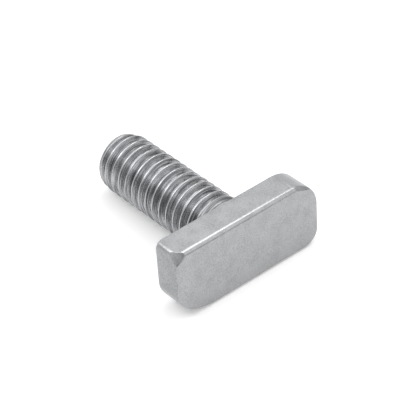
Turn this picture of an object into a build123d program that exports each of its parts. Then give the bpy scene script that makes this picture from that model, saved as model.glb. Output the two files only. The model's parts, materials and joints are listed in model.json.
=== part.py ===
"""T-slot bolt: a flat hammer head on a fully threaded M6 shank, one piece of stainless steel.

The bolt is built on its own axis: x runs from the head's bearing face (x = 0) to the tip, y along the
head and z across it. It is then laid down as it comes to rest, on the head's long lower edge and on the
last full crest of the thread, with the origin under the middle of its bounding box. Sizes are in mm.
"""

import math
import os

from build123d import *

# ---- Head ----
head_length = 16.7
head_width = 7.5
head_thickness = 3.05
turning_corner_radius = 3.1  # two opposite corners, which let the head turn a quarter in its slot
stop_corner_radius = 1.6  # the corner that comes up against the slot's wall
outer_edge_radius = 0.2  # soft edge round the outer face
bearing_edge_radius = 0.15  # soft edge round the bearing face
square_corner_break = 0.2  # small flat on the head's one square corner

# ---- Flats left by trimming on the outer face, and the roll-over left by blanking ----
bevel_leg = 0.28  # the long bevel
facet_leg = 0.36  # the facet where the bevel meets the turning corner
facet_angle = 12.0  # degrees round the turning corner from the upper edge
relief_back = 1.37  # the relief on the square corner, measured back from the outer face
relief_in = 1.34  # measured in from the head's end
relief_depth = 1.1  # measured down the head's end
relief_bulge = 0.18  # how far the relief's surface rounds outwards
end_roll_depth = 0.25  # how far the outer face has fallen away where it meets the square end
end_roll_length = 1.4  # measured along the head

# ---- Shank ----
shank_length = 16.0  # from the bearing face to the tip
neck_diameter = 5.7
neck_length = 0.9
neck_fillet = 0.3  # between the neck and the bearing face
neck_lead = 0.35  # cone from the neck up to the thread's crest
tip_diameter = 5.2
tip_taper = 1.15  # length of the tapered lead-in

# ---- Thread: M6 x 1, right-handed ----
thread_diameter = 6.0
thread_pitch = 1.0
thread_angle = 60.0  # between the two flanks of the groove
crest_share = 1 / 8  # flat on the crest, as a share of the pitch
root_share = 1 / 6  # flat at the root, as a share of the pitch
thread_phase = 40.0  # degrees, the groove's place round the shank
runout_start = 1.9  # where the groove begins to rise on its way to the head
runout_turns = 1.0
points_per_turn = 16  # on each edge of the groove

# ---- Cutters ----
overrun = 0.6  # how far a cutter runs past what it cuts
crest_clearance = 0.05  # how far the groove's cutter stands out of the crest and ends above the neck

# ---- Worked out ----
thread_radius = thread_diameter / 2
neck_radius = neck_diameter / 2
flank_slope = math.tan(math.radians(thread_angle / 2))
root_width = thread_pitch * root_share
crest_width = thread_pitch * crest_share
root_radius = thread_radius - (thread_pitch - crest_width - root_width) / 2 / flank_slope


def head_outline():
    """The head as seen along the shank, with one of its four corners left square."""
    outline = Rectangle(head_length, head_width)
    rounded = (
        (-1, 1, turning_corner_radius),
        (1, -1, turning_corner_radius),
        (-1, -1, stop_corner_radius),
    )
    for side_y, side_z, radius in rounded:
        corner = (side_y * head_length / 2, side_z * head_width / 2)
        outline = fillet(outline.vertices().sort_by_distance(corner)[0], radius)
    return outline


def flat_cutter(point, outward):
    """Block that takes off all that stands out of the plane through a point."""
    side = 2 * head_length
    block = Box(side, side, overrun, align=(Align.CENTER, Align.CENTER, Align.MIN))
    return Plane(origin=point, z_dir=outward) * block


def outer_flat(edge_y, edge_z, angle, leg):
    """Cutter for a 45 degree flat on the outer face's edge.

    It takes off a leg at the edge point (edge_y, edge_z), where the edge faces out at an angle
    from +z towards -y.
    """
    out_y = -math.sin(math.radians(angle))
    out_z = math.cos(math.radians(angle))
    middle = (leg / 2 - head_thickness, edge_y - out_y * leg / 2, edge_z - out_z * leg / 2)
    return flat_cutter(middle, (-1, out_y, out_z))


def square_corner_flat():
    """Cutter for the small flat along the head's square corner."""
    middle = (0, (head_length - square_corner_break) / 2, (head_width - square_corner_break) / 2)
    return flat_cutter(middle, (0, 1, 1))


def corner_relief():
    """Cutter for the relief on the square corner: a cone that runs out to a point on the edge below."""
    growth = (relief_depth + overrun) / relief_depth
    back = relief_back * growth
    inward = relief_in * growth
    corner = Plane(
        origin=(-head_thickness, head_length / 2, head_width / 2 + overrun), x_dir=(1, 0, 0)
    )
    section = Polyline((0, -inward), (-overrun, -inward), (-overrun, overrun), (back, overrun), (back, 0))
    section += SagittaArc((back, 0), (0, -inward), -relief_bulge * growth)
    apex = Vertex(-head_thickness, head_length / 2, head_width / 2 - relief_depth)
    return loft([apex, corner * make_face(section)], ruled=True)


def end_roll():
    """Cutter for the outer face's roll-over: an arc that leaves the face evenly, up to the square end."""
    start = (-head_thickness, head_length / 2 - end_roll_length)
    finish = (end_roll_depth - head_thickness, head_length / 2)
    outside = -head_thickness - overrun
    beyond = head_length / 2 + overrun
    section = TangentArc(start, finish, tangent=(0, 1))
    section += Polyline(finish, (finish[0], beyond), (outside, beyond), (outside, start[1]), start)
    return extrude(make_face(section), head_width, both=True)


def head():
    """Flat head with soft edges, the flats of its upper edge, the corner relief and the roll-over."""
    block = extrude(Plane.YZ * head_outline(), -head_thickness)
    block = fillet(block.faces().sort_by(Axis.X)[0].edges(), outer_edge_radius)
    block = fillet(block.faces().sort_by(Axis.X)[-1].edges(), bearing_edge_radius)
    block -= square_corner_flat()
    block -= end_roll()
    block -= corner_relief()
    block -= outer_flat(0, head_width / 2, 0, bevel_leg)
    arc_y = turning_corner_radius - head_length / 2
    arc_z = head_width / 2 - turning_corner_radius
    facet_y = arc_y - turning_corner_radius * math.sin(math.radians(facet_angle))
    facet_z = arc_z + turning_corner_radius * math.cos(math.radians(facet_angle))
    block -= outer_flat(facet_y, facet_z, facet_angle, facet_leg)
    return block


def shank_blank():
    """The shank before its thread is rolled: filleted neck, lead, full diameter and tapered tip."""
    thread_start = neck_length + neck_lead
    taper_start = shank_length - tip_taper
    profile = Polyline(
        (neck_fillet, neck_radius),
        (neck_length, neck_radius),
        (thread_start, thread_radius),
        (taper_start, thread_radius),
        (shank_length, tip_diameter / 2),
        (shank_length, 0),
        (-head_thickness / 2, 0),
        (-head_thickness / 2, neck_radius),
        (0, neck_radius),
        (0, neck_radius + neck_fillet),
    )
    profile += RadiusArc((0, neck_radius + neck_fillet), (neck_fillet, neck_radius), neck_fillet)
    return revolve(make_face(profile), Axis.X)


def groove_section(x):
    """Four corners of the groove where its middle is at x: two at the root, then two past the crest.

    Up to the run-out the root keeps its depth. Along the run-out it rises evenly until it leaves
    the neck.
    """
    rise_share = min(1, max(0, (runout_start - x) / (thread_pitch * runout_turns)))
    root = root_radius + (neck_radius + crest_clearance - root_radius) * rise_share
    mouth = max(thread_radius, root) + crest_clearance
    half_root = root_width / 2
    half_mouth = half_root + (mouth - root) * flank_slope
    turn = 2 * math.pi * x / thread_pitch + math.radians(thread_phase)
    corners = ((-half_root, root), (half_root, root), (half_mouth, mouth), (-half_mouth, mouth))
    return [(x + side, r * math.cos(turn), r * math.sin(turn)) for side, r in corners]


def thread_groove():
    """Cutter for the thread: the V between the crests, wound from the run-out to past the tip.

    Each turn has four ruled faces between the paths of the section's corners.
    """
    first = runout_start - thread_pitch * runout_turns
    turns = math.ceil((shank_length + overrun - first) / thread_pitch)
    faces = []
    for turn in range(turns):
        sections = [
            groove_section(first + thread_pitch * (turn + step / points_per_turn))
            for step in range(points_per_turn + 1)
        ]
        paths = [Spline(corner) for corner in zip(*sections)]
        for path, next_path in zip(paths, paths[1:] + paths[:1]):
            faces.append(Face.make_surface_from_curves(path, next_path))
    for x in (first, first + thread_pitch * turns):
        faces.append(Face(Wire.make_polygon(groove_section(x), close=True)))
    return Solid(Shell(faces))


def rest_tilt():
    """Degrees by which the shank slopes down to the tip where the bolt lies by itself."""
    bottom = (270 - thread_phase) / 360 + 1 / 2  # a crest at the bottom of the shank, in pitches
    last_full = (shank_length - tip_taper - crest_width / 2) / thread_pitch
    crest_x = thread_pitch * (bottom + math.floor(last_full - bottom)) + crest_width / 2
    run = crest_x + bearing_edge_radius
    rise = head_width / 2 - bearing_edge_radius - thread_radius
    return math.degrees(math.atan2(rise, run) + math.asin(bearing_edge_radius / math.hypot(run, rise)))


def resting_place(bolt):
    """Where the bolt lies: tilted on head and thread, with z = 0 and the origin under its middle."""
    tilt = Rot(0, rest_tilt(), 0)
    box = (tilt * bolt).bounding_box()
    return Pos(-box.center().X, -box.center().Y, -box.min.Z) * tilt


def t_bolt():
    """The whole bolt on its own axis."""
    return head() + (shank_blank() - thread_groove())


if __name__ == "__main__":
    os.makedirs("parts", exist_ok=True)
    bolt = t_bolt()
    export_step(resting_place(bolt) * bolt, "parts/t_bolt.step")
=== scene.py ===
"""Visual model of a stainless steel T-slot bolt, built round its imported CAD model.

The bolt is one cold-formed piece: a flat hammer head on a fully threaded M6 shank. Its head is
trimmed out of a block, its shank is wound as one screw surface, and both are closed into a single
skin. Shapes are made in millimetres on the bolt's own axes (x from the head's bearing face to the
tip, y along the head, z across it) and then laid down where the CAD model lies.
"""

import json
import logging
import math
from dataclasses import dataclass
from enum import Enum
from functools import partial

import bmesh
import bpy
from mathutils import Matrix, Vector

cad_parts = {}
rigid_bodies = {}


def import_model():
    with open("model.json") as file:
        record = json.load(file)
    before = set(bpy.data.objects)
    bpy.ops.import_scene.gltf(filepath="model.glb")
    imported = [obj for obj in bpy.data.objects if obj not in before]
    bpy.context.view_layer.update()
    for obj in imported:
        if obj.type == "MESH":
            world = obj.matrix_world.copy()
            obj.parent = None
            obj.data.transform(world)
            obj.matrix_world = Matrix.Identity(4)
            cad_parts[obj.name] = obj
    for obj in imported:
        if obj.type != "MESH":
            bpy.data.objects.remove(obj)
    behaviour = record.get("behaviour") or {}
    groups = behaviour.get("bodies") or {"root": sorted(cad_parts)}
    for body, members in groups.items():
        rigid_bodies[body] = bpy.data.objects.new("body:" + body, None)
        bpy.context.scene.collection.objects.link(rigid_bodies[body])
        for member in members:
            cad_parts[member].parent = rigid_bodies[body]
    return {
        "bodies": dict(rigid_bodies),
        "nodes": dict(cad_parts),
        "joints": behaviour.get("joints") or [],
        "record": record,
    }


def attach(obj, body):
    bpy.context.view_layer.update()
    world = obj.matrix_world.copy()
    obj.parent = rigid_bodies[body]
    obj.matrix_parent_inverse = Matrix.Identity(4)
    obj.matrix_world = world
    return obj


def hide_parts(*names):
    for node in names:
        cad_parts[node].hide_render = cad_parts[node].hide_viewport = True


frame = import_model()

log = logging.getLogger("t_bolt")

NODE = "t_bolt"
MM = 0.001  # metres in a millimetre
TOUCH = 1e-4  # millimetres within which two points are the same
BROAD_DETAIL = 3.0  # octaves of a broad noise
FINE_DETAIL = 2.0  # octaves of a fine noise
NOISE_RANGE = (0.3, 0.7)  # between which most of a noise lies
COLOURS = {"data_type": "RGBA"}  # settings of a Mix node that mixes colours


class Corner(Enum):
    """Corners of the head with one plain radius, as the side of y and the side of z of each."""

    TURNING_UPPER = (-1, 1)
    STOP = (-1, -1)


class Region(Enum):
    """Parts of the bolt's skin that have a finish of their own, by material slot."""

    PLAIN = 0
    SHANK = 1


# ---------------------------------------------------------------- bolt axes


@dataclass(frozen=True)
class BoltAxes:
    """Where the bolt's own axes lie in the row frame, and the sizes in mm measured along them."""

    to_world: Matrix
    head_length: float
    head_width: float
    head_thickness: float
    shank_length: float
    thread_radius: float

    @classmethod
    def from_frame(cls, packed: dict) -> "BoltAxes":
        """Reads the axes from the record's mounts and measures the CAD node along them.


        Returns:
            The axes and the sizes in millimetres.
        """
        mounts = {mount["name"]: mount for mount in packed["record"]["mounts"]}
        along = Vector(mounts["bearing_face"]["axis"]).normalized()
        side = Vector((0, 1, 0))
        turn = Matrix((along, side, along.cross(side))).transposed().to_4x4()
        place = Matrix.Translation(Vector(mounts["bearing_face"]["pos_m"])) @ turn
        to_world = place @ Matrix.Scale(MM, 4)
        to_bolt = to_world.inverted()
        points = [to_bolt @ vertex.co for vertex in packed["nodes"][NODE].data.vertices]
        low = [min(point[i] for point in points) for i in range(3)]
        high = [max(point[i] for point in points) for i in range(3)]
        return cls(
            to_world=to_world,
            head_length=high[1] - low[1],
            head_width=high[2] - low[2],
            head_thickness=-low[0],
            shank_length=high[0],
            thread_radius=mounts["thread"]["dims"]["r_mm"],
        )


# ---------------------------------------------------------------- meshes


def whole(bm: bmesh.types.BMesh) -> list:
    """All vertices, edges and faces of a mesh."""
    return bm.verts[:] + bm.edges[:] + bm.faces[:]


def new_piece(name: str, bm: bmesh.types.BMesh) -> bpy.types.Object:
    """Makes an object of a finished mesh and puts it in the scene.

    Args:
        name: The object's name.
        bm: Its mesh, which is freed.

    Returns:
        The object.
    """
    mesh = bpy.data.meshes.new(name)
    bm.to_mesh(mesh)
    bm.free()
    piece = bpy.data.objects.new(name, mesh)
    bpy.context.scene.collection.objects.link(piece)
    return piece


@dataclass(frozen=True)
class Cut:
    """A flat that takes off all that stands out of it: points p with normal.p > reach."""

    normal: Vector
    reach: float

    @classmethod
    def through(cls, point: Vector, outward: Vector) -> "Cut":
        """A flat through a point, facing outward."""
        normal = outward.normalized()
        return cls(normal, normal.dot(point))

    @classmethod
    def touching(cls, middle: Vector, radius: float, normal: Vector) -> "Cut":
        """A flat that touches a ball or a cylinder round a middle, where it faces along normal."""
        return cls(normal, normal.dot(middle) + radius)

    def trim(self, bm: bmesh.types.BMesh) -> None:
        """Takes off what stands out of the flat and closes the skin again.

        Args:
            bm: A closed convex mesh.
        """
        bmesh.ops.bisect_plane(
            bm,
            geom=whole(bm),
            dist=TOUCH / 10,
            plane_co=self.normal * self.reach,
            plane_no=self.normal,
            clear_outer=True,
        )
        bmesh.ops.holes_fill(bm, edges=[edge for edge in bm.edges if edge.is_boundary], sides=0)


def soften(first: Cut, second: Cut, radius: float, flats: int) -> list[Cut]:
    """Narrow flats that round the edge between two flats.

    Args:
        first: The flat on one side of the edge.
        second: The flat on its other side.
        radius: Radius of the rounding.
        flats: How many flats stand for it.

    Returns:
        The flats, from the first side to the second.
    """
    share = first.normal.dot(second.normal)
    a, b = first.reach - radius, second.reach - radius
    middle = first.normal * (a - b * share) + second.normal * (b - a * share)
    middle /= 1 - share * share
    cuts = []
    for step in range(1, flats + 1):
        normal = first.normal.slerp(second.normal, step / (flats + 1)).normalized()
        cuts.append(Cut.touching(middle, radius, normal))
    return cuts


# ---------------------------------------------------------------- head


@dataclass
class Head:
    """The hammer head: an oblong block with rolled-over edges and the flats left by trimming it.

    Lengths are in millimetres and angles in degrees.
    """

    length: float
    width: float
    thickness: float
    # Corners of the outline. The lower turning corner starts gently and ends on a tighter arc.
    turning_radius: float = 3.1
    stop_radius: float = 1.6
    gentle_radius: float = 6.0
    gentle_angle: float = 27.0
    tight_radius: float = 2.6
    corner_segments: int = 28
    # Fall of the outer face towards its rim, in rings, each a share of the width.
    roll_depth: float = 0.05
    roll_width: float = 0.65
    roll_rings: tuple[float, ...] = (0.35, 0.2, 0.15, 0.15, 0.15)
    # Rims of the two faces. The outer one stays narrower than the first ring of the fall.
    outer_radius: float = 0.22
    bearing_radius: float = 0.15
    edge_segments: int = 4
    # Long bevel on the upper edge, and the facet where it runs out on the turning corner.
    bevel_leg: float = 0.32
    bevel_radius: float = 0.35
    bevel_flats: int = 8
    bevel_foot_radius: float = 0.3
    bevel_foot_flats: int = 4
    facet_leg: float = 0.37
    facet_angle: float = 23.0
    # Square corner: its upright edge, and its point at the bearing face.
    square_radius: float = 0.42
    square_flats: int = 7
    back_corner_radius: float = 0.4
    # Relief on the square corner: back from the outer face, in from the end, down the end.
    relief_back: float = 1.55
    relief_in: float = 1.34
    relief_depth: float = 1.35
    relief_bulge: float = 0.2
    relief_flats: int = 7
    relief_radius: float = 0.1
    relief_edge_flats: int = 4
    # Roll-over of the outer face at the square end, and its pivot's height as a share of the width.
    end_roll_depth: float = 0.25
    end_roll_length: float = 1.4
    end_roll_slant: float = 9.0
    end_roll_pivot: float = 0.125
    end_roll_flats: int = 8

    def build(self) -> bmesh.types.BMesh:
        """Makes the head's closed skin.

        Returns:
            The mesh in millimetres, with the bearing face at x = 0.
        """
        bm = bmesh.new()
        size = Matrix.Diagonal((self.thickness, self.length, self.width, 1))
        place = Matrix.Translation((-self.thickness / 2, 0, 0))
        bmesh.ops.create_cube(bm, size=1, matrix=place @ size)
        self._round_corners(bm)
        self._roll_over(bm)
        self._round_rims(bm)
        for cut in (
            self._end_roll()
            + self._upper_bevel()
            + self._square_corner()
            + self._corner_relief()
            + self._facet()
            + self._back_corner()
        ):
            cut.trim(bm)
        bmesh.ops.recalc_face_normals(bm, faces=bm.faces)
        return bm

    def _bevel(self, bm: bmesh.types.BMesh, edges: list, radius: float, segments: int) -> None:
        """Rounds edges with an arc.

        Args:
            bm: The mesh.
            edges: Its edges that are rounded.
            radius: Radius of the arc.
            segments: How many flats stand for it.
        """
        bmesh.ops.bevel(
            bm,
            geom=edges,
            offset=radius,
            offset_type="OFFSET",
            segments=segments,
            profile=0.5,
            affect="EDGES",
            material=-1,
        )

    def _round_corners(self, bm: bmesh.types.BMesh) -> None:
        """Rounds three of the block's four corners and leaves the square one.

        Args:
            bm: The block.
        """
        radii = {Corner.TURNING_UPPER: self.turning_radius, Corner.STOP: self.stop_radius}
        for corner, radius in radii.items():
            y, z = corner.value[0] * self.length / 2, corner.value[1] * self.width / 2
            edges = [
                edge
                for edge in bm.edges
                if all(abs(v.co.y - y) < TOUCH and abs(v.co.z - z) < TOUCH for v in edge.verts)
            ]
            self._bevel(bm, edges, radius, self.corner_segments)
        for cut in self._lower_corner():
            cut.trim(bm)

    def _lower_corner(self) -> list[Cut]:
        """The lower turning corner, which leaves the lower side on a gentler arc than it ends on.

        Returns:
            Its flats, from the lower side to the square end.
        """
        angle = math.radians(self.gentle_angle)
        spread = self.gentle_radius - self.tight_radius
        tight = Vector((0, self.length / 2 - self.tight_radius, 0))
        rise = self.width / 2 - self.gentle_radius
        gentle = tight - Vector((0, spread * math.sin(angle), rise))
        tight.z = gentle.z - spread * math.cos(angle)
        cuts = []
        for step in range(self.corner_segments):
            turn = math.pi / 2 * (step + 0.5) / self.corner_segments
            normal = Vector((0, math.sin(turn), -math.cos(turn)))
            if turn < angle:
                cuts.append(Cut.touching(gentle, self.gentle_radius, normal))
            else:
                cuts.append(Cut.touching(tight, self.tight_radius, normal))
        return cuts

    def _rim(self, bm: bmesh.types.BMesh, x: float) -> list:
        """Edges that lie wholly at x."""
        return [edge for edge in bm.edges if all(abs(v.co.x - x) < TOUCH for v in edge.verts)]

    def _roll_over(self, bm: bmesh.types.BMesh) -> None:
        """Lets the outer face fall away softly towards its rim, as a pressed face does.

        Args:
            bm: The block with its corners rounded.
        """
        outer = min(bm.faces, key=lambda face: face.calc_center_median().x)
        inset = 0.0
        for share in self.roll_rings:
            width = self.roll_width * share
            ring = bmesh.ops.inset_region(bm, faces=[outer], thickness=width, use_even_offset=True)
            rim = {vertex for face in ring["faces"] for vertex in face.verts} - set(outer.verts)
            for vertex in rim:
                fall = self.roll_depth * (1 - inset / self.roll_width) ** 2
                vertex.co.x = fall - self.thickness
            inset += width

    def _round_rims(self, bm: bmesh.types.BMesh) -> None:
        """Rounds the rims of the outer face and of the bearing face.

        Args:
            bm: The block with its outer face rolled over.
        """
        outer_x = self.roll_depth - self.thickness
        self._bevel(bm, self._rim(bm, outer_x), self.outer_radius, self.edge_segments)
        self._bevel(bm, self._rim(bm, 0), self.bearing_radius, self.edge_segments)

    def _faces(self) -> tuple[Cut, Cut, Cut]:
        """The block's outer face, upper side and square end as flats."""
        return (
            Cut(Vector((-1, 0, 0)), self.thickness),
            Cut(Vector((0, 0, 1)), self.width / 2),
            Cut(Vector((0, 1, 0)), self.length / 2),
        )

    def _upper_bevel(self) -> list[Cut]:
        """The long bevel on the outer face's upper edge, soft where it meets both faces.

        Returns:
            The bevel and its soft edges.
        """
        outer, upper, _ = self._faces()
        foot = Vector((-self.thickness, 0, self.width / 2 - self.bevel_leg))
        bevel = Cut.through(foot, Vector((-1, 0, 1)))
        return (
            [bevel]
            + soften(upper, bevel, self.bevel_radius, self.bevel_flats)
            + soften(bevel, outer, self.bevel_foot_radius, self.bevel_foot_flats)
        )

    def _square_corner(self) -> list[Cut]:
        """The small rounding along the square corner."""
        _, upper, end = self._faces()
        return soften(upper, end, self.square_radius, self.square_flats)

    def _end_roll(self) -> list[Cut]:
        """The outer face's roll-over at the square end: flats round a cylinder touching the face.

        It leans a little, so that it is deeper at the foot of the end than at its top.

        Returns:
            The flats, from the outer face to the end.
        """
        length, depth = self.end_roll_length, self.end_roll_depth
        radius = (length**2 + depth**2) / (2 * depth)
        pivot = self.width * self.end_roll_pivot
        middle = Vector((radius - self.thickness, self.length / 2 - length, pivot))
        slant = math.radians(self.end_roll_slant)
        along = Vector((0, math.cos(slant), -math.sin(slant)))
        steepest = math.asin(length / radius)
        cuts = []
        for step in range(self.end_roll_flats):
            angle = steepest * (step + 0.5) / self.end_roll_flats
            normal = along * math.sin(angle) - Vector((math.cos(angle), 0, 0))
            cuts.append(Cut.touching(middle, radius, normal))
        return cuts

    def _corner_relief(self) -> list[Cut]:
        """The relief on the square corner: flats round a cone whose point is on the upright edge.

        Returns:
            The cone's flats, and those that soften its edge with the upper side.
        """
        _, upper, _ = self._faces()
        apex = Vector((-self.thickness, self.length / 2, self.width / 2 - self.relief_depth))
        back = Vector((self.relief_back - self.thickness, self.length / 2, self.width / 2))
        front = Vector((-self.thickness, self.length / 2 - self.relief_in, self.width / 2))
        chord = front - back
        radius = (chord.length_squared / 4 + self.relief_bulge**2) / (2 * self.relief_bulge)
        diagonal = Vector((-1, 1, 0))
        outward = diagonal - chord * (diagonal.dot(chord) / chord.length_squared)
        outward.normalize()
        centre = (front + back) / 2 + outward * (self.relief_bulge - radius)
        half = math.asin(chord.length / 2 / radius)
        flats = []
        for step in range(self.relief_flats):
            angle = half * (2 * (step + 0.5) / self.relief_flats - 1)
            normal = outward * math.cos(angle) + chord.normalized() * math.sin(angle)
            point = centre + normal * radius
            tangent = chord.normalized() * math.cos(angle) - outward * math.sin(angle)
            facing = tangent.cross(point - apex)
            flats.append(Cut.through(apex, facing if facing.dot(outward) > 0 else -facing))
        return flats + [
            cut
            for flat in flats
            for cut in soften(upper, flat, self.relief_radius, self.relief_edge_flats)
        ]

    def _back_corner(self) -> list[Cut]:
        """Flats round a ball that blunt the point where the bearing face meets the square corner.

        Returns:
            The flats, from the one that faces straight out of the corner.
        """
        reach = self.back_corner_radius
        middle = Vector((-reach, self.length / 2 - reach, self.width / 2 - reach))
        leans = ((1, 1, 1), (2, 1, 1), (1, 2, 1), (1, 1, 2), (2, 2, 1), (2, 1, 2), (1, 2, 2))
        return [Cut.touching(middle, reach, Vector(lean).normalized()) for lean in leans]

    def _facet(self) -> list[Cut]:
        """The facet where the bevel runs out on the upper turning corner.

        Returns:
            Its one flat.
        """
        angle = math.radians(self.facet_angle)
        out = Vector((0, -math.sin(angle), math.cos(angle)))
        radius = self.turning_radius
        centre = Vector((0, radius - self.length / 2, self.width / 2 - radius))
        rim = centre + out * radius
        foot = rim - out * self.facet_leg - Vector((self.thickness, 0, 0))
        return [Cut.through(foot, out + Vector((-1, 0, 0)))]


# ---------------------------------------------------------------- shank


def soft_least(a: float, b: float, blend: float) -> float:
    """The smaller of two values, with a rounded hand-over.

    Args:
        a: One value.
        b: The other value.
        blend: How far apart the values are where the rounding starts.

    Returns:
        The smaller value, or a little less where they are close.
    """
    near = max(blend - abs(a - b), 0) / blend
    return min(a, b) - near * near * blend / 4


@dataclass
class Shank:
    """The shank: a filleted neck, a rolled M6 thread with its run-out, and a tapered tip.

    Lengths are in millimetres and angles in degrees.
    """

    length: float
    thread_radius: float
    # Thread. The phase is the groove's place round the shank, the shares are of the pitch.
    pitch: float = 1.0
    thread_angle: float = 60.0
    crest_share: float = 1 / 8
    root_share: float = 1 / 6
    phase: float = 40.0
    # Neck, the cone from it up to the crest, and how far past that cone it still counts.
    neck_radius: float = 2.85
    neck_length: float = 0.9
    neck_lead: float = 0.35
    lead_reach: float = 1.5
    neck_fillet: float = 0.3
    # Tip. Each ring of its dish is a share of its radius and a share of the dish's depth, and
    # rings further out than the rim keep to the outline that the thread leaves there.
    tip_radius: float = 2.6
    tip_taper: float = 1.15
    tip_dish: float = 0.1
    tip_rings: tuple[tuple[float, float], ...] = (
        (0.985, 0.0), (0.93, 0.1), (0.8, 0.45), (0.6, 0.8), (0.3, 1.0)
    )
    tip_rim: float = 0.9
    # Run-out of the groove, which ends a little proud of the neck.
    runout_start: float = 1.9
    runout_turns: float = 1.0
    runout_lift: float = 0.05
    # Differences in radius over which two forms blend.
    root_blend: float = 0.16
    crest_blend: float = 0.04
    lead_blend: float = 0.08
    neck_blend: float = 0.04
    # Fine turned rings round the neck.
    mark_pitch: float = 0.24
    mark_depth: float = 0.02
    # Fineness of the skin: steps in a turn, and along one pitch. The band at a crest's edge
    # reaches out over the flank and in over the crest, as shares of the pitch.
    steps: int = 112
    root_steps: int = 3
    flank_steps: int = 6
    edge_steps: int = 2
    crest_steps: int = 3
    edge_out: float = 0.03
    edge_in: float = 0.02
    weld: float = 0.0025

    @property
    def root_radius(self) -> float:
        """Radius of the flat at the thread's root."""
        flanks = self.pitch * (1 - self.crest_share - self.root_share)
        return self.thread_radius - flanks / 2 / self._slope

    @property
    def _slope(self) -> float:
        """Widening of the groove for each millimetre outwards, on one side."""
        return math.tan(math.radians(self.thread_angle / 2))

    def build(self) -> bmesh.types.BMesh:
        """Winds the shank's skin, open at x = 0 and closed at the tip.

        Returns:
            The mesh in millimetres.
        """
        bm = bmesh.new()
        start = -self.pitch * (2 + self.phase / 360)  # a groove's middle, two turns before the head
        profile = self._profile(bm, start)
        # The spin moves along as it turns, so its ends don't meet and aren't merged.
        bmesh.ops.spin(
            bm,
            geom=profile,
            cent=(0, 0, 0),
            axis=(1, 0, 0),
            dvec=(self.pitch / self.steps, 0, 0),
            angle=2 * math.pi,
            steps=self.steps,
            use_merge=False,
        )
        one_turn = whole(bm)
        for turn in range(1, math.ceil((self.length - start) / self.pitch) + 1):
            copy = bmesh.ops.duplicate(bm, geom=one_turn)["geom"]
            moved = [item for item in copy if isinstance(item, bmesh.types.BMVert)]
            bmesh.ops.translate(bm, verts=moved, vec=(self.pitch * turn, 0, 0))
        bmesh.ops.remove_doubles(bm, verts=bm.verts, dist=self.weld)
        self._crop(bm, 0, -1)
        self._crop(bm, self.length, 1)
        self._form(bm)
        self._close_tip(bm)
        return bm

    def _profile(self, bm: bmesh.types.BMesh, start: float) -> list:
        """One pitch of the thread as a line at the full radius, finer at crest and root.

        Args:
            bm: The mesh to draw it in.
            start: Where the line starts, in the middle of a groove.

        Returns:
            Its vertices and edges.
        """
        half_root = self.root_share / 2
        half_crest = self.crest_share / 2
        stops = (
            (half_root, self.root_steps),
            (0.5 - half_crest - self.edge_out, self.flank_steps),
            (0.5 - half_crest + self.edge_in, self.edge_steps),
            (0.5 + half_crest - self.edge_in, self.crest_steps),
            (0.5 + half_crest + self.edge_out, self.edge_steps),
            (1 - half_root, self.flank_steps),
            (1.0, self.root_steps),
        )
        last = bmesh.ops.create_vert(bm, co=(start, self.thread_radius, 0))["vert"][0]
        for share, steps in stops:
            stride = (start + self.pitch * share - last.co.x) / steps
            for _ in range(steps):
                last = bmesh.ops.extrude_vert_indiv(bm, verts=[last])["verts"][0]
                last.co.x += stride
        return bm.verts[:] + bm.edges[:]

    def _crop(self, bm: bmesh.types.BMesh, x: float, side: int) -> None:
        """Cuts the wound skin off square to the axis.

        Args:
            bm: The skin.
            x: Where it is cut.
            side: 1 takes off what lies beyond x, and -1 what lies before it.
        """
        bmesh.ops.bisect_plane(
            bm,
            geom=whole(bm),
            dist=TOUCH,
            plane_co=(x, 0, 0),
            plane_no=(side, 0, 0),
            clear_outer=True,
        )

    def _blank(self, x: float) -> float:
        """Radius of the shank before its thread is rolled.

        Args:
            x: Distance from the bearing face.

        Returns:
            The radius there.
        """
        if x < self.neck_fillet:
            rise = self.neck_fillet - max(x, 0)
            return self.neck_radius + self.neck_fillet - math.sqrt(self.neck_fillet**2 - rise**2)
        taper = (self.length - x) / self.tip_taper
        cone = self.tip_radius + (self.thread_radius - self.tip_radius) * taper
        full = soft_least(self.thread_radius, cone, self.lead_blend)
        share = (x - self.neck_length) / self.neck_lead
        if share >= self.lead_reach:
            return full
        lead = self.neck_radius + (self.thread_radius - self.neck_radius) * share
        return soft_least(full, max(lead, self.neck_radius), self.neck_blend)

    def _groove(self, x: float, turn: float) -> float:
        """Radius of the thread's groove, whose flanks run on past the crest.

        Args:
            x: Distance from the bearing face.
            turn: Angle round the axis in radians.

        Returns:
            The radius there, without the crest, the neck and the tip's taper.
        """
        wound = x / self.pitch - (turn - math.radians(self.phase)) / (2 * math.pi)
        off = (wound - round(wound)) * self.pitch
        middle = x - off
        rise = (self.runout_start - middle) / (self.pitch * self.runout_turns)
        risen = self.neck_radius + self.runout_lift - self.root_radius
        root = self.root_radius + risen * min(1, max(0, rise))
        flank = root + (abs(off) - self.pitch * self.root_share / 2) / self._slope
        return -soft_least(-root, -flank, self.root_blend)

    def _marks(self, x: float) -> float:
        """Depth of the fine rings round the neck.

        Args:
            x: Distance from the bearing face.

        Returns:
            How far they go in at x.
        """
        ends = (x - self.neck_fillet, self.runout_start - x)
        fade = min(1, *(end / self.mark_pitch for end in ends))
        wave = 0.5 - 0.5 * math.cos(2 * math.pi * x / self.mark_pitch)
        return self.mark_depth * max(fade, 0) * wave

    def _form(self, bm: bmesh.types.BMesh) -> None:
        """Moves every point of the wound skin in or out to the thread, the neck or the tip's taper.

        Args:
            bm: The skin, a plain cylinder so far.
        """
        for vertex in bm.verts:
            x, y, z = vertex.co
            turn = math.atan2(z, y)
            radius = self._blank(x)
            if x >= self.neck_fillet:
                radius = soft_least(self._groove(x, turn), radius, self.crest_blend)
                radius -= self._marks(x)
            vertex.co = (x, radius * math.cos(turn), radius * math.sin(turn))

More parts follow.
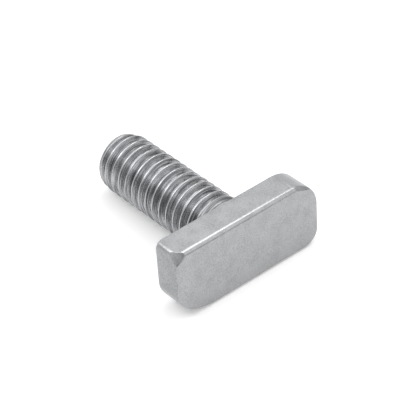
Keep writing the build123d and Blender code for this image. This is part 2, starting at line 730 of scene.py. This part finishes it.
    def _close_tip(self, bm: bmesh.types.BMesh) -> None:
        """Closes the tip with a face that is dished a little, as thread rolling leaves it.

        Args:
            bm: The skin, open at the tip.
        """
        middle = self.length / 2
        rim = [edge for edge in bm.edges if edge.is_boundary and edge.verts[0].co.x > middle]
        for scale, depth in self.tip_rings:
            drawn = bmesh.ops.extrude_edge_only(bm, edges=rim)["geom"]
            rim = [item for item in drawn if isinstance(item, bmesh.types.BMEdge)]
            x = self.length - self.tip_dish * depth
            for vertex in {vertex for edge in rim for vertex in edge.verts}:
                _, y, z = vertex.co
                turn = math.atan2(z, y)
                radius = self.tip_radius * scale
                if scale > self.tip_rim:
                    radius = min(radius, math.hypot(y, z) * scale)
                vertex.co = (x, radius * math.cos(turn), radius * math.sin(turn))
        bmesh.ops.holes_fill(bm, edges=rim, sides=0)


# ---------------------------------------------------------------- materials


def linear(colour: str) -> tuple[float, float, float, float]:
    """Turns a colour written as sRGB hex into linear values.

    Args:
        colour: Six hex digits after a hash.

    Returns:
        Red, green, blue and an alpha of 1.
    """
    values = [int(colour[i : i + 2], 16) / 255 for i in (1, 3, 5)]
    return (*(v / 12.92 if v <= 0.04045 else ((v + 0.055) / 1.055) ** 2.4 for v in values), 1.0)


def add_node(
    tree: bpy.types.NodeTree,
    kind: str,
    settings: dict | None = None,
    links: dict | None = None,
    **inputs: float | tuple | Vector,
) -> bpy.types.Node:
    """Adds a node to a tree.

    Args:
        tree: The node tree.
        kind: The node's type name, without the ShaderNode that they all start with.
        settings: Properties of the node.
        links: Output sockets by the name or number of the input they feed.
        **inputs: Plain values by input name, with underscores for spaces.

    Returns:
        The node.
    """
    node = tree.nodes.new("ShaderNode" + kind)
    for name, value in (settings or {}).items():
        setattr(node, name, value)
    for name, value in inputs.items():
        node.inputs[name.replace("_", " ")].default_value = value
    for name, socket in (links or {}).items():
        tree.links.new(socket, node.inputs[name])
    return node


def new_material(name: str) -> tuple[bpy.types.Material, bpy.types.NodeTree]:
    """Makes a material with an empty node tree.

    Args:
        name: The material's name.

    Returns:
        The material and its tree.
    """
    material = bpy.data.materials.new(name)
    material.use_nodes = True
    material.node_tree.nodes.clear()
    return material, material.node_tree


def on_bolt_axes(
    tree: bpy.types.NodeTree, place: bpy.types.NodeSocket, to_bolt: Matrix
) -> bpy.types.NodeSocket:
    """Turns object coordinates in metres to the bolt's own axes in millimetres.

    Args:
        tree: The material's tree.
        place: The object coordinates.
        to_bolt: The turn and shift from the row frame to the bolt's axes.

    Returns:
        The coordinates on the bolt's axes.
    """
    return add_node(
        tree,
        "Mapping",
        {"vector_type": "POINT"},
        {"Vector": place},
        Location=to_bolt.to_translation(),
        Rotation=to_bolt.to_3x3().normalized().to_euler(),
        Scale=(1 / MM, 1 / MM, 1 / MM),
    ).outputs["Vector"]


def seen_by_eye_or_gloss(tree: bpy.types.NodeTree) -> bpy.types.NodeSocket:
    """Tells the rays that show a background from those that only carry its light.

    Args:
        tree: The tree of a background's material or of the world.

    Returns:
        A socket with 1 for camera, glossy and transmission rays, and 0 for the rest.
    """
    paths = add_node(tree, "LightPath")
    seen = paths.outputs["Is Camera Ray"]
    for ray in ("Is Glossy Ray", "Is Transmission Ray"):
        links = {0: seen, 1: paths.outputs[ray]}
        seen = add_node(tree, "Math", {"operation": "MAXIMUM"}, links).outputs[0]
    return seen


@dataclass(frozen=True)
class TumbledStainless:
    """Stainless steel, pressed and barrel-tumbled: satin grey with soft blotches and a fine grain.

    The square end, cut off the bar, is painted darker, a painted shade on that face, with a coarser
    mottle. Sizes are in millimetres.
    """

    to_bolt: Matrix
    end_y: float
    end_x: float
    # Light and dark of the blotches, on the skin and on the square end, which is painted darker as
    # painted shade.
    colour: str = "#AEAFB1"
    shade: str = "#979899"
    shaded_sheared_end: str = "#A7A8AA"
    shaded_sheared_end_dark: str = "#858688"
    tint_range: tuple[float, float] = (0.37, 0.63)
    # The square end's band of painted shade in from the end, and its edge with the outer face.
    band_start: float = 0.10
    band_full: float = 0.02
    band_edge: float = 0.03
    roughness: float = 0.36
    roughness_spread: float = 0.04
    blotch_mm: float = 1.3
    dent_mm: float = 0.5
    dent_depth: float = 0.02
    dent_strength: float = 0.35
    # Tumbling leaves a finer grain than a render shows, so it is drawn 0.13 mm coarse.
    grain_mm: float = 0.13
    grain_depth: float = 0.008
    grain_strength: float = 0.5
    grain_share: float = 0.65

    def material(self) -> bpy.types.Material:
        """Builds the finish.

        Returns:
            The material.
        """
        material, tree = new_material("tumbled_stainless")
        add = partial(add_node, tree)
        place = add("TexCoord").outputs["Object"]
        turned = on_bolt_axes(tree, place, self.to_bolt)
        split = add("SeparateXYZ", links={"Vector": turned})
        blotch, dent, grain = (
            add(
                "TexNoise", links={"Vector": place}, Scale=1 / (size * MM), Detail=detail
            ).outputs["Fac"]
            for size, detail in (
                (self.blotch_mm, BROAD_DETAIL),
                (self.dent_mm, FINE_DETAIL),
                (self.grain_mm, FINE_DETAIL),
            )
        )
        # Stones rub the skin unevenly, which gives the eye soft blotches with a fine speckle.
        mottle = add("Mix", links={"A": blotch, "B": grain}, Factor=self.grain_share)
        spread = add(
            "MapRange",
            links={"Value": mottle.outputs["Result"]},
            From_Min=self.tint_range[0],
            From_Max=self.tint_range[1],
        )
        # skin is the tint of the skin; cut is the square end's darker tint, which is painted shade.
        skin, cut = (
            add(
                "Mix",
                COLOURS,
                {"Factor": spread.outputs["Result"]},
                A=linear(dark),
                B=linear(light),
            ).outputs["Result"]
            for dark, light in ((self.shade, self.colour), (self.shaded_sheared_end_dark, self.shaded_sheared_end))
        )
        # The square end is painted darker than the pressed skin, a painted shade on that face, up
        # to the outer face's roll-over.
        near_end, behind = (
            add(
                "MapRange", links={"Value": split.outputs[axis]}, From_Min=start, From_Max=full
            ).outputs["Result"]
            for axis, start, full in (
                ("Y", self.end_y - self.band_start, self.end_y - self.band_full),
                ("X", self.end_x - self.band_edge, self.end_x + self.band_edge),
            )
        )
        on_shaded_end = add("Math", {"operation": "MULTIPLY"}, {0: near_end, 1: behind})
        colour = add("Mix", COLOURS, {"Factor": on_shaded_end.outputs[0], "A": skin, "B": cut})
        # The satin gloss changes slowly over the blotches, and shallow dents break its reflections.
        gloss = add(
            "MapRange",
            links={"Value": blotch},
            From_Min=NOISE_RANGE[0],
            From_Max=NOISE_RANGE[1],
            To_Min=self.roughness - self.roughness_spread,
            To_Max=self.roughness + self.roughness_spread,
        )
        relief = {}
        for height, strength, depth in (
            (dent, self.dent_strength, self.dent_depth),
            (grain, self.grain_strength, self.grain_depth),
        ):
            links = {"Height": height, **relief}
            bump = add("Bump", links=links, Strength=strength, Distance=depth * MM)
            relief = {"Normal": bump.outputs["Normal"]}
        steel = add(
            "BsdfPrincipled",
            links={
                "Base Color": colour.outputs["Result"],
                "Roughness": gloss.outputs["Result"],
                **relief,
            },
            Metallic=1.0,
        )
        add("OutputMaterial", links={"Surface": steel.outputs["BSDF"]})
        return material


@dataclass(frozen=True)
class RolledThread:
    """Rolled stainless steel: crests lighter than the flanks, whose dark drawn lines also paint
    shade in the grooves.

    The neck is rougher, and painted darker as a painted shade that tones down its highlight. Sizes
    are in millimetres.
    """

    to_bolt: Matrix
    crest_radius: float
    neck_end: float
    # The flanks with their lines come out darker than the crests: a painted shade in the grooves.
    crest: str = "#AFB0B2"
    flank: str = "#BCBDBF"
    line: str = "#646567"
    # The neck's grey is painted shade that tones down its highlight.
    neck: str = "#A2A3A5"
    roughness: float = 0.26
    roughness_spread: float = 0.05
    crest_roughness: float = 0.25
    neck_roughness: float = 0.44
    # Depth below the crest's radius that keeps the crest colour, above the grooves' painted shade;
    # the neck's soft start.
    crest_band: float = 0.05
    neck_fade: float = 0.4
    # The lines run along the thread, so they keep to one radius and drift a little with x, more
    # so on the neck. Rolls leave them finer than a render shows, so they are drawn 0.07 mm wide.
    line_mm: float = 0.07
    line_length_mm: float = 2.2
    line_drift: float = 0.3
    neck_drift: float = 0.5
    line_range: tuple[float, float] = (0.35, 0.65)
    line_depth: float = 0.02
    line_strength: float = 1.0
    mottle_mm: float = 0.4
    mottle_depth: float = 0.008
    mottle_strength: float = 0.5

    def material(self) -> bpy.types.Material:
        """Builds the finish.

        Returns:
            The material.
        """
        material, tree = new_material("rolled_stainless")
        add = partial(add_node, tree)
        place = add("TexCoord").outputs["Object"]
        turned = on_bolt_axes(tree, place, self.to_bolt)
        split = add("SeparateXYZ", links={"Vector": turned})
        along_x = split.outputs["X"]
        flat = add("CombineXYZ", links={"Y": split.outputs["Y"], "Z": split.outputs["Z"]})
        radius = add(
            "VectorMath", {"operation": "LENGTH"}, {"Vector": flat.outputs["Vector"]}
        ).outputs["Value"]
        # Metal that flows between the rolls is drawn out in fine dark lines along the thread.
        lean, on_neck = (
            add(
                "MapRange",
                links={"Value": along_x},
                From_Min=self.neck_end,
                From_Max=self.neck_end - self.neck_fade,
                To_Min=before,
                To_Max=after,
            ).outputs["Result"]
            for before, after in ((self.line_drift, self.neck_drift), (0.0, 1.0))
        )
        drift = add("Math", {"operation": "MULTIPLY"}, {0: along_x, 1: lean})
        across = add("CombineXYZ", links={"X": radius, "Y": drift.outputs[0]})
        along = add(
            "VectorMath",
            {"operation": "SCALE"},
            {"Vector": turned},
            Scale=self.line_mm / self.line_length_mm,
        )
        ways = add(
            "VectorMath",
            {"operation": "ADD"},
            {0: across.outputs["Vector"], 1: along.outputs["Vector"]},
        )
        lines, mottle = (
            add("TexNoise", links={"Vector": vector}, Scale=1 / size, Detail=detail).outputs["Fac"]
            for vector, size, detail in (
                (ways.outputs["Vector"], self.line_mm, FINE_DETAIL),
                (turned, self.mottle_mm, BROAD_DETAIL),
            )
        )
        ruled = add(
            "MapRange",
            links={"Value": lines},
            From_Min=self.line_range[0],
            From_Max=self.line_range[1],
        )
        # The flanks' dark lines are marks of the rolls, and they also paint shade in the grooves.
        flanks, shaded_neck_tint = (
            add(
                "Mix",
                COLOURS,
                {"Factor": ruled.outputs["Result"]},
                A=linear(self.line),
                B=linear(light),
            ).outputs["Result"]
            for light in (self.flank, self.neck)
        )
        # The crests are plain and even over the grooves' painted shade; the neck's grey is painted
        # shade.
        on_crest = add(
            "MapRange",
            links={"Value": radius},
            From_Min=self.crest_radius - self.crest_band,
            From_Max=self.crest_radius,
        ).outputs["Result"]
        crests = add("Mix", COLOURS, {"Factor": on_crest, "A": flanks}, B=linear(self.crest))
        tint = add("Mix", COLOURS, {"Factor": on_neck, "A": crests.outputs["Result"], "B": shaded_neck_tint})
        gloss = add(
            "MapRange",
            links={"Value": mottle},
            From_Min=NOISE_RANGE[0],
            From_Max=NOISE_RANGE[1],
            To_Min=self.roughness - self.roughness_spread,
            To_Max=self.roughness + self.roughness_spread,
        ).outputs["Result"]
        for where, roughness in ((on_crest, self.crest_roughness), (on_neck, self.neck_roughness)):
            gloss = add("Mix", links={"Factor": where, "A": gloss}, B=roughness).outputs["Result"]
        relief = {}
        for height, strength, depth in (
            (lines, self.line_strength, self.line_depth),
            (mottle, self.mottle_strength, self.mottle_depth),
        ):
            links = {"Height": height, **relief}
            bump = add("Bump", links=links, Strength=strength, Distance=depth * MM)
            relief = {"Normal": bump.outputs["Normal"]}
        steel = add(
            "BsdfPrincipled",
            links={"Base Color": tint.outputs["Result"], "Roughness": gloss, **relief},
            Metallic=1.0,
        )
        add("OutputMaterial", links={"Surface": steel.outputs["BSDF"]})
        return material


@dataclass(frozen=True)
class WhiteSweep:
    """White painted studio floor: matt, with a lift that only the camera and reflections see."""

    colour: str = "#F4F4F4"
    lift: float = 0.25

    def material(self) -> bpy.types.Material:
        """Builds the finish.

        Returns:
            The material.
        """
        material, tree = new_material("white_sweep")
        add = partial(add_node, tree)
        # Matt paint gives the eye soft shadows without a shine, and the lift clears it to white.
        level = add(
            "MapRange", links={"Value": seen_by_eye_or_gloss(tree)}, To_Min=0.0, To_Max=self.lift
        )
        glow = add("Emission", links={"Strength": level.outputs[0]}, Color=(1, 1, 1, 1))
        paint = add("BsdfDiffuse", Color=linear(self.colour))
        both = add("AddShader", links={0: paint.outputs[0], 1: glow.outputs[0]})
        add("OutputMaterial", links={"Surface": both.outputs[0]})
        return material


@dataclass(frozen=True)
class BlackFelt:
    """Black felt on a card: an even near-black, there for the dark edges it gives to metal."""

    colour: str = "#101010"

    def material(self) -> bpy.types.Material:
        """Builds the finish.

        Returns:
            The material.
        """
        material, tree = new_material("black_felt_card")
        add = partial(add_node, tree)
        # Felt takes in nearly all light, so the metal shows it as one even dark tone.
        felt = add("Emission", Color=linear(self.colour), Strength=1.0)
        add("OutputMaterial", links={"Surface": felt.outputs[0]})
        return material


# ---------------------------------------------------------------- the bolt


@dataclass
class Bolt:
    """The whole bolt: head and shank closed into one skin, laid down and dressed."""

    axes: BoltAxes
    crisp_angle: float = 24.0  # degrees from which an edge between two flats stays crisp
    tip_facing: float = 0.95  # the tip's face is where a normal leans this much along x
    face_weight: int = 60  # how strongly large faces pull the shading flat

    def build(self) -> bpy.types.Object:
        """Makes the bolt where the CAD model lies.

        Returns:
            The finished piece.
        """
        axes = self.axes
        head = Head(axes.head_length, axes.head_width, axes.head_thickness)
        shank = Shank(axes.shank_length, axes.thread_radius)
        bm = head.build()
        self._add(bm, shank.build())
        self._close_bearing_face(bm)
        bmesh.ops.recalc_face_normals(bm, faces=bm.faces)
        for face in bm.faces:
            face.smooth = True
            face.material_index = self._region(face).value
        self._keep_crisp(bm)
        bmesh.ops.transform(bm, matrix=axes.to_world, verts=bm.verts)
        open_edges = sum(not edge.is_manifold for edge in bm.edges)
        piece = new_piece("stainless_t_bolt", bm)
        to_bolt = axes.to_world.inverted()
        end_x = head.end_roll_depth - head.thickness
        skin = TumbledStainless(to_bolt, head.length / 2, end_x)
        thread = RolledThread(to_bolt, shank.thread_radius, shank.runout_start)
        for finish in (skin, thread):
            piece.data.materials.append(finish.material())
        soft = piece.modifiers.new("flat faces stay flat", "WEIGHTED_NORMAL")
        soft.mode = "FACE_AREA"
        soft.keep_sharp = True
        soft.weight = self.face_weight
        triangles = sum(len(polygon.vertices) - 2 for polygon in piece.data.polygons)
        log.info("%s: %d triangles, %d open edges", piece.name, triangles, open_edges)
        return piece

    def _add(self, bm: bmesh.types.BMesh, other: bmesh.types.BMesh) -> None:
        """Takes another mesh into this one.

        Args:
            bm: The mesh that grows.
            other: The mesh that it takes in, which is freed.
        """
        carrier = bpy.data.meshes.new("carrier")
        other.to_mesh(carrier)
        other.free()
        bm.from_mesh(carrier)
        bpy.data.meshes.remove(carrier)

    def _close_bearing_face(self, bm: bmesh.types.BMesh) -> None:
        """Opens the bearing face and closes it again round the neck's fillet.

        Args:
            bm: The head's closed skin and the shank's open one.
        """
        flush = [face for face in bm.faces if all(abs(v.co.x) < TOUCH for v in face.verts)]
        bearing = max(flush, key=lambda face: face.calc_area())
        bmesh.ops.delete(bm, geom=[bearing], context="FACES_ONLY")
        rims = [edge for edge in bm.edges if not edge.is_manifold]
        bmesh.ops.triangle_fill(bm, edges=rims, use_beauty=True)

    def _region(self, face: bmesh.types.BMFace) -> Region:
        """Tells which finish a face has: the rolled one round the shank, the plain one elsewhere.

        Args:
            face: A face of the closed skin, on the bolt's axes.

        Returns:
            Its region.
        """
        x = face.calc_center_median().x
        on_tip = x > self.axes.shank_length / 2 and face.normal.x > self.tip_facing
        return Region.SHANK if x > TOUCH and not on_tip else Region.PLAIN

    def _keep_crisp(self, bm: bmesh.types.BMesh) -> None:
        """Marks edges between the head's flats that meet at a plain angle, so that they stay crisp.

        Args:
            bm: The closed skin.
        """
        for edge in bm.edges:
            if all(face.material_index == Region.PLAIN.value for face in edge.link_faces):
                edge.smooth = edge.calc_face_angle(0) < math.radians(self.crisp_angle)


# ---------------------------------------------------------------- studio


@dataclass(frozen=True)
class SoftBox:
    """A square soft box that faces the bolt: place and side in metres, power in watts."""

    name: str
    place: tuple[float, float, float]
    side: float
    power: float

    def hang(self) -> None:
        """Hangs the soft box."""
        lamp = bpy.data.lights.new(self.name, "AREA")
        lamp.shape = "SQUARE"
        lamp.size = self.side
        lamp.energy = self.power
        box = bpy.data.objects.new(self.name, lamp)
        box.location = self.place
        box.rotation_euler = (-Vector(self.place)).to_track_quat("-Z", "Y").to_euler()
        bpy.context.scene.collection.objects.link(box)


@dataclass(frozen=True)
class DarkCard:
    """A dark card beside the bolt, which only the metal shows: its middle and sides in metres."""

    name: str
    place: tuple[float, float, float]
    width: float
    height: float

    def stand(self) -> None:
        """Stands the card upright, facing the bolt."""
        bm = bmesh.new()
        bmesh.ops.create_grid(bm, x_segments=1, y_segments=1, size=0.5)  # one metre by one
        towards_bolt = Vector((-self.place[0], -self.place[1], 0))
        face = towards_bolt.to_track_quat("Z", "Y").to_matrix().to_4x4()
        size = Matrix.Diagonal((self.width, self.height, 1, 1))
        matrix = Matrix.Translation(self.place) @ face @ size
        bmesh.ops.transform(bm, matrix=matrix, verts=bm.verts)
        card = new_piece(self.name, bm)
        card.data.materials.append(BlackFelt().material())
        card.visible_camera = False
        card.visible_diffuse = False
        card.visible_shadow = False


@dataclass
class Studio:
    """A white floor in a white room, three soft boxes and three dark cards."""

    floor_size: float = 3.0
    fill: float = 0.4  # the room's strength where it only lights, beside 1 where it is seen
    boxes: tuple[SoftBox, ...] = (
        SoftBox("overhead", (-0.01, 0.0, 0.30), 0.50, 0.87),
        SoftBox("front_right", (-0.02, -0.155, 0.26), 0.12, 0.16),
        SoftBox("back_left", (0.135, 0.13, 0.234), 0.12, 0.17),
    )
    cards: tuple[DarkCard, ...] = (
        DarkCard("front_card", (-0.125, -0.064, 0.018), 0.065, 0.055),
        DarkCard("right_card", (-0.0525, -0.130, 0.014), 0.075, 0.034),
        DarkCard("left_card", (-0.09, 0.11, 0.05), 0.10, 0.07),
    )

    def build(self) -> None:
        """Makes the floor, the lights, the cards and the world, and sets the view transform."""
        self._floor()
        for box in self.boxes:
            box.hang()
        for card in self.cards:
            card.stand()
        self._world()
        bpy.context.scene.view_settings.view_transform = "Standard"

    def _floor(self) -> None:
        """Lays the floor."""
        bm = bmesh.new()
        bmesh.ops.create_grid(bm, x_segments=1, y_segments=1, size=self.floor_size / 2)
        floor = new_piece("floor", bm)
        floor.data.materials.append(WhiteSweep().material())

    def _world(self) -> None:
        """White all round, as the camera and the metal see it, and a softer fill for the rest."""
        world = bpy.data.worlds.new("white_room")
        world.use_nodes = True
        tree = world.node_tree
        tree.nodes.clear()
        add = partial(add_node, tree)
        level = add(
            "MapRange", links={"Value": seen_by_eye_or_gloss(tree)}, To_Min=self.fill, To_Max=1.0
        )
        sky = add("Background", links={"Strength": level.outputs[0]}, Color=(1, 1, 1, 1))
        add("OutputWorld", links={"Surface": sky.outputs[0]})
        bpy.context.scene.world = world


@dataclass
class ViewCamera:
    """The camera, high on the head's side: place and lens in millimetres, turns in degrees."""

    place_mm: tuple[float, float, float] = (-105.168, 84.569, 118.333)
    azimuth: float = 230.130
    elevation: float = 40.681
    roll: float = -1.2244
    lens: float = 163.00
    clip_start: float = 0.01  # metres

    def build(self) -> None:
        """Sets up the camera."""
        turn, rise, roll = (math.radians(a) for a in (self.azimuth, self.elevation, self.roll))
        level = math.cos(rise)
        ahead = Vector((-math.sin(turn) * level, math.cos(turn) * level, -math.sin(rise)))
        right = ahead.cross(Vector((0, 0, 1))).normalized()
        up = right.cross(ahead)
        right, up = (
            right * math.cos(roll) + up * math.sin(roll),
            up * math.cos(roll) - right * math.sin(roll),
        )
        data = bpy.data.cameras.new("camera")
        data.lens = self.lens
        data.clip_start = self.clip_start
        camera = bpy.data.objects.new("camera", data)
        basis = Matrix((right, up, -ahead)).transposed().to_4x4()
        camera.matrix_world = Matrix.Translation(Vector(self.place_mm) * MM) @ basis
        bpy.context.scene.collection.objects.link(camera)
        bpy.context.scene.camera = camera


def main() -> None:
    """Builds the camera, the bolt and the studio."""
    logging.basicConfig(level=logging.INFO, format="%(name)s: %(message)s")
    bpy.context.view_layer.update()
    ViewCamera().build()
    piece = Bolt(BoltAxes.from_frame(frame)).build()
    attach(piece, "root")
    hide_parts(NODE)
    Studio().build()


if __name__ == "__main__":
    main()
